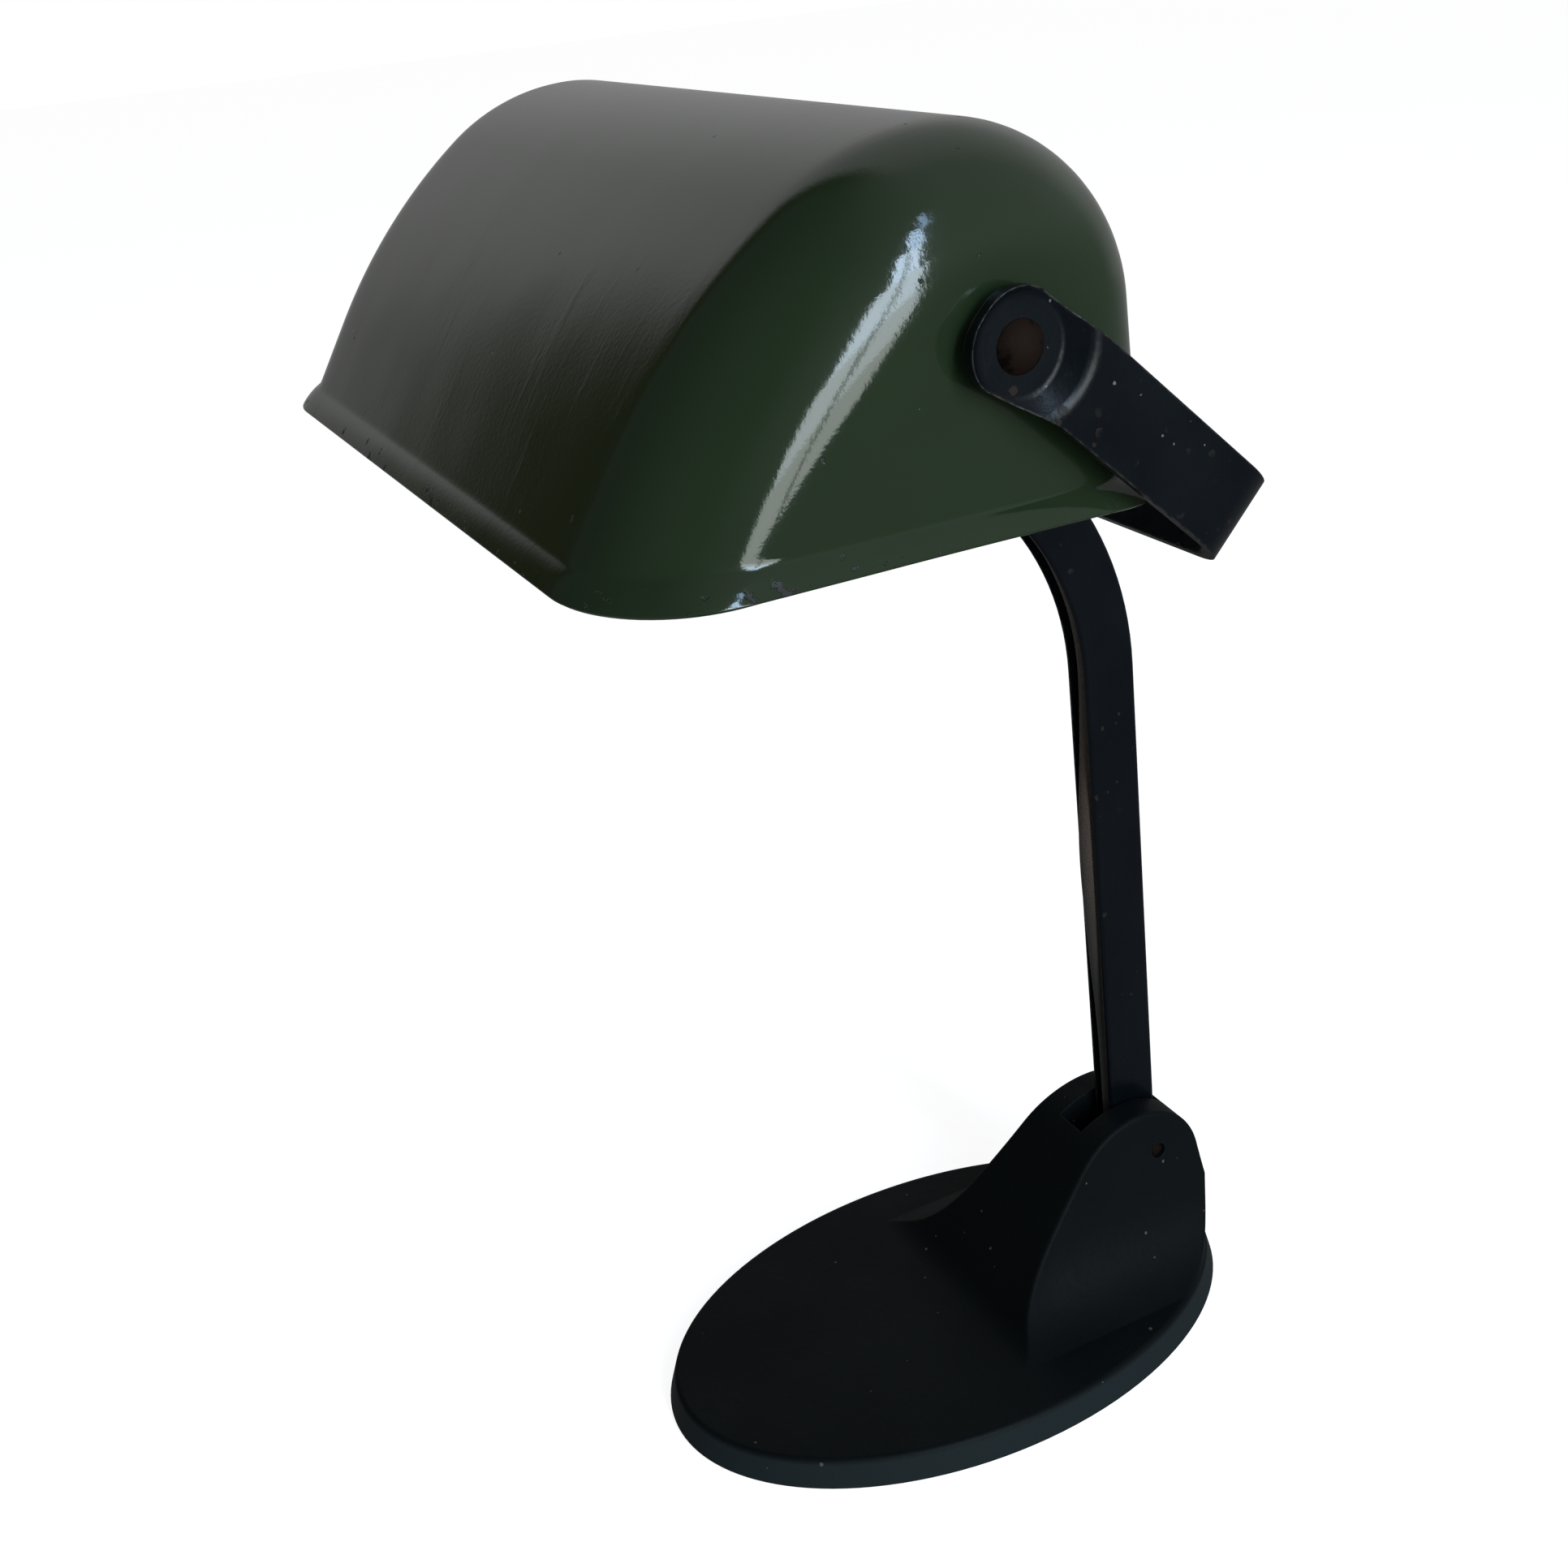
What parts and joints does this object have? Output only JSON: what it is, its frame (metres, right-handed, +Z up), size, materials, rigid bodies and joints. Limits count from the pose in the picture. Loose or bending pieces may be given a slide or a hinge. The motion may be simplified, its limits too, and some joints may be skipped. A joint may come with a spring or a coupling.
{
  "type": "banker desk lamp",
  "caption": "Desk lamp with an oval cast foot, a tilting channel arm with its lead inside, a strap bail and a long tilting enamelled shade over one bulb.",
  "frame": {"origin": "middle of the oval foot, on the table", "axes": "X along the shade, right seen from the front; light falls towards -Y and the tower stands at +Y; +Z up"},
  "size_m": [0.2198, 0.199, 0.3349],
  "materials": {
    "cast_paint": "satin black-blue paint on rough cast iron",
    "felt": "thin dark felt",
    "lacquered_steel": "blue-black lacquer on pressed steel, worn along its edges",
    "dark_steel": "darkened steel with a little rust",
    "plain_steel": "zinc-plated steel",
    "fibre": "dark vulcanised fibre",
    "enamel": "glossy vitreous enamel on sheet steel, dark green outside and white inside",
    "brass": "aged brass",
    "porcelain": "white glazed porcelain",
    "cap_metal": "bright rolled metal",
    "cap_glass": "black glass insulation",
    "bulb_glass": "clear glass",
    "filament_wire": "fine tungsten wire",
    "bushing": "black moulded bushing",
    "lead_cover": "brown braided fabric cover"
  },
  "bodies": {
    "base": {"base_casting": "cast_paint", "base_felt": "felt", "inlet_bushing": "bushing", "arm_pivot_pin": "dark_steel", "slot_washer_right": "fibre", "slot_washer_left": "fibre", "lead_base": "lead_cover", "lead_bend": "lead_cover"},
    "arm": {"arm_channel": "lacquered_steel", "arm_rivets": "dark_steel", "bail": "lacquered_steel", "shade_rivet_right": "dark_steel", "shade_rivet_left": "dark_steel", "outer_washer_right": "fibre", "outer_washer_left": "fibre", "inner_washer_right": "fibre", "inner_washer_left": "fibre", "holder_bracket": "lacquered_steel", "bracket_rivets": "dark_steel", "holder_nipple": "plain_steel", "tooth_washer": "plain_steel", "nipple_nut": "plain_steel", "holder_cap": "brass", "holder_shell": "brass", "holder_insert": "porcelain", "holder_sleeve": "brass", "centre_contact": "brass", "terminal_screws": "brass", "bulb_cap": "cap_metal", "bulb_insulator": "cap_glass", "bulb_contact": "cap_metal", "bulb_glass": "bulb_glass", "bulb_stem": "bulb_glass", "bulb_filament": "filament_wire", "lead_arm": "lead_cover"},
    "shade": {"shade_shell": "enamel"}
  },
  "joints": [
    {"name": "arm_tilt", "type": "hinge", "parent": "base", "child": "arm", "pos_m": [0, 0.0623, 0.0429], "axis": [1, 0, 0], "range_deg": [-4, 42], "deforming": ["lead_bend"]},
    {"name": "shade_tilt", "type": "hinge", "parent": "arm", "child": "shade", "pos_m": [0, -0.0396, 0.3023], "axis": [1, 0, 0], "range_deg": [-8, 90]}
  ]
}
